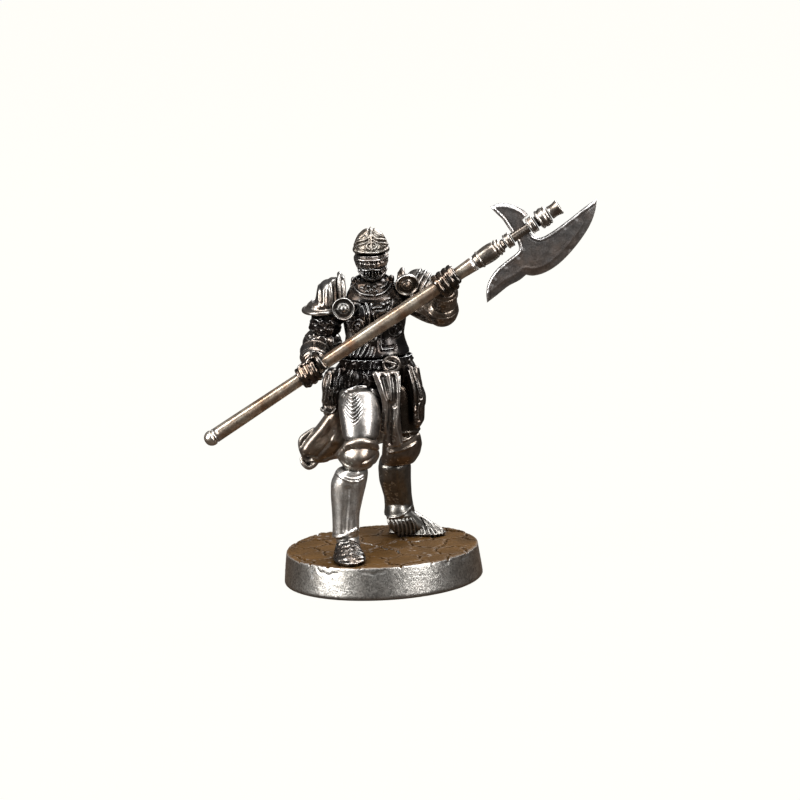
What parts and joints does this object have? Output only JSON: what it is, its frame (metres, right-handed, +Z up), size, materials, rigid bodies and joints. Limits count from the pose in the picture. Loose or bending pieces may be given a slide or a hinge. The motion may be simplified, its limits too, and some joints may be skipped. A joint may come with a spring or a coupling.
{
  "type": "knight miniature",
  "caption": "Cast metal miniature of an armoured knight holding a halberd across the body, on a round gaming base.",
  "frame": {"origin": "centre of the base's underside", "axes": "+Z up through the base, -Y the way the knight faces, +X towards the axe head"},
  "size_m": [0.05, 0.025, 0.0476],
  "materials": {
    "base_metal": "cast white metal, polished side wall, top toned brown between the stones",
    "armour_metal": "antiqued cast metal, dark recesses and rubbed bright edges",
    "blackened_metal": "antiqued cast metal, mostly blackened, glossy",
    "cast_cloth": "folds cast in metal, blackened with a warm rub",
    "haft_metal": "cast metal with a warm bronze-brown tone",
    "socket_metal": "antiqued cast metal, slightly warm",
    "blade_metal": "smooth cast metal with a bevelled bright edge",
    "pin_steel": "plain drawn wire"
  },
  "bodies": {
    "root": {"base": "base_metal", "right_greave": "armour_metal", "left_greave": "armour_metal", "right_poleyn": "armour_metal", "left_poleyn": "armour_metal", "right_cuisse": "armour_metal", "left_cuisse": "armour_metal", "right_sabaton": "armour_metal", "left_sabaton": "armour_metal", "helmet_skull": "armour_metal", "visor": "armour_metal", "bevor": "armour_metal", "right_visor_pivot": "armour_metal", "left_visor_pivot": "armour_metal", "right_pauldron": "armour_metal", "left_pauldron": "armour_metal", "right_haute_piece": "armour_metal", "left_haute_piece": "armour_metal", "right_besagew": "armour_metal", "left_besagew": "armour_metal", "right_couter": "armour_metal", "left_couter": "armour_metal", "right_gauntlet_cuff": "armour_metal", "left_gauntlet_cuff": "armour_metal", "belt_buckle": "armour_metal", "breastplate": "blackened_metal", "backplate": "blackened_metal", "gorget": "blackened_metal", "fauld": "blackened_metal", "right_rerebrace": "blackened_metal", "left_rerebrace": "blackened_metal", "right_vambrace": "blackened_metal", "left_vambrace": "blackened_metal", "right_gauntlet_hand": "blackened_metal", "left_gauntlet_hand": "blackened_metal", "loincloth": "cast_cloth", "right_hip_drape": "cast_cloth", "left_hip_drape": "cast_cloth", "coat_tail": "cast_cloth", "belt": "cast_cloth", "halberd_haft": "haft_metal", "haft_butt_cap": "haft_metal", "halberd_socket": "socket_metal", "lower_collar": "socket_metal", "middle_collar": "socket_metal", "upper_collar": "socket_metal", "upper_shaft": "socket_metal", "haft_tip": "socket_metal", "axe_blade": "blade_metal", "back_fluke": "blade_metal", "right_foot_pin": "pin_steel", "left_foot_pin": "pin_steel", "waist_pin": "pin_steel", "neck_pin": "pin_steel", "right_shoulder_pin": "pin_steel", "left_shoulder_pin": "pin_steel"}
  },
  "joints": []
}
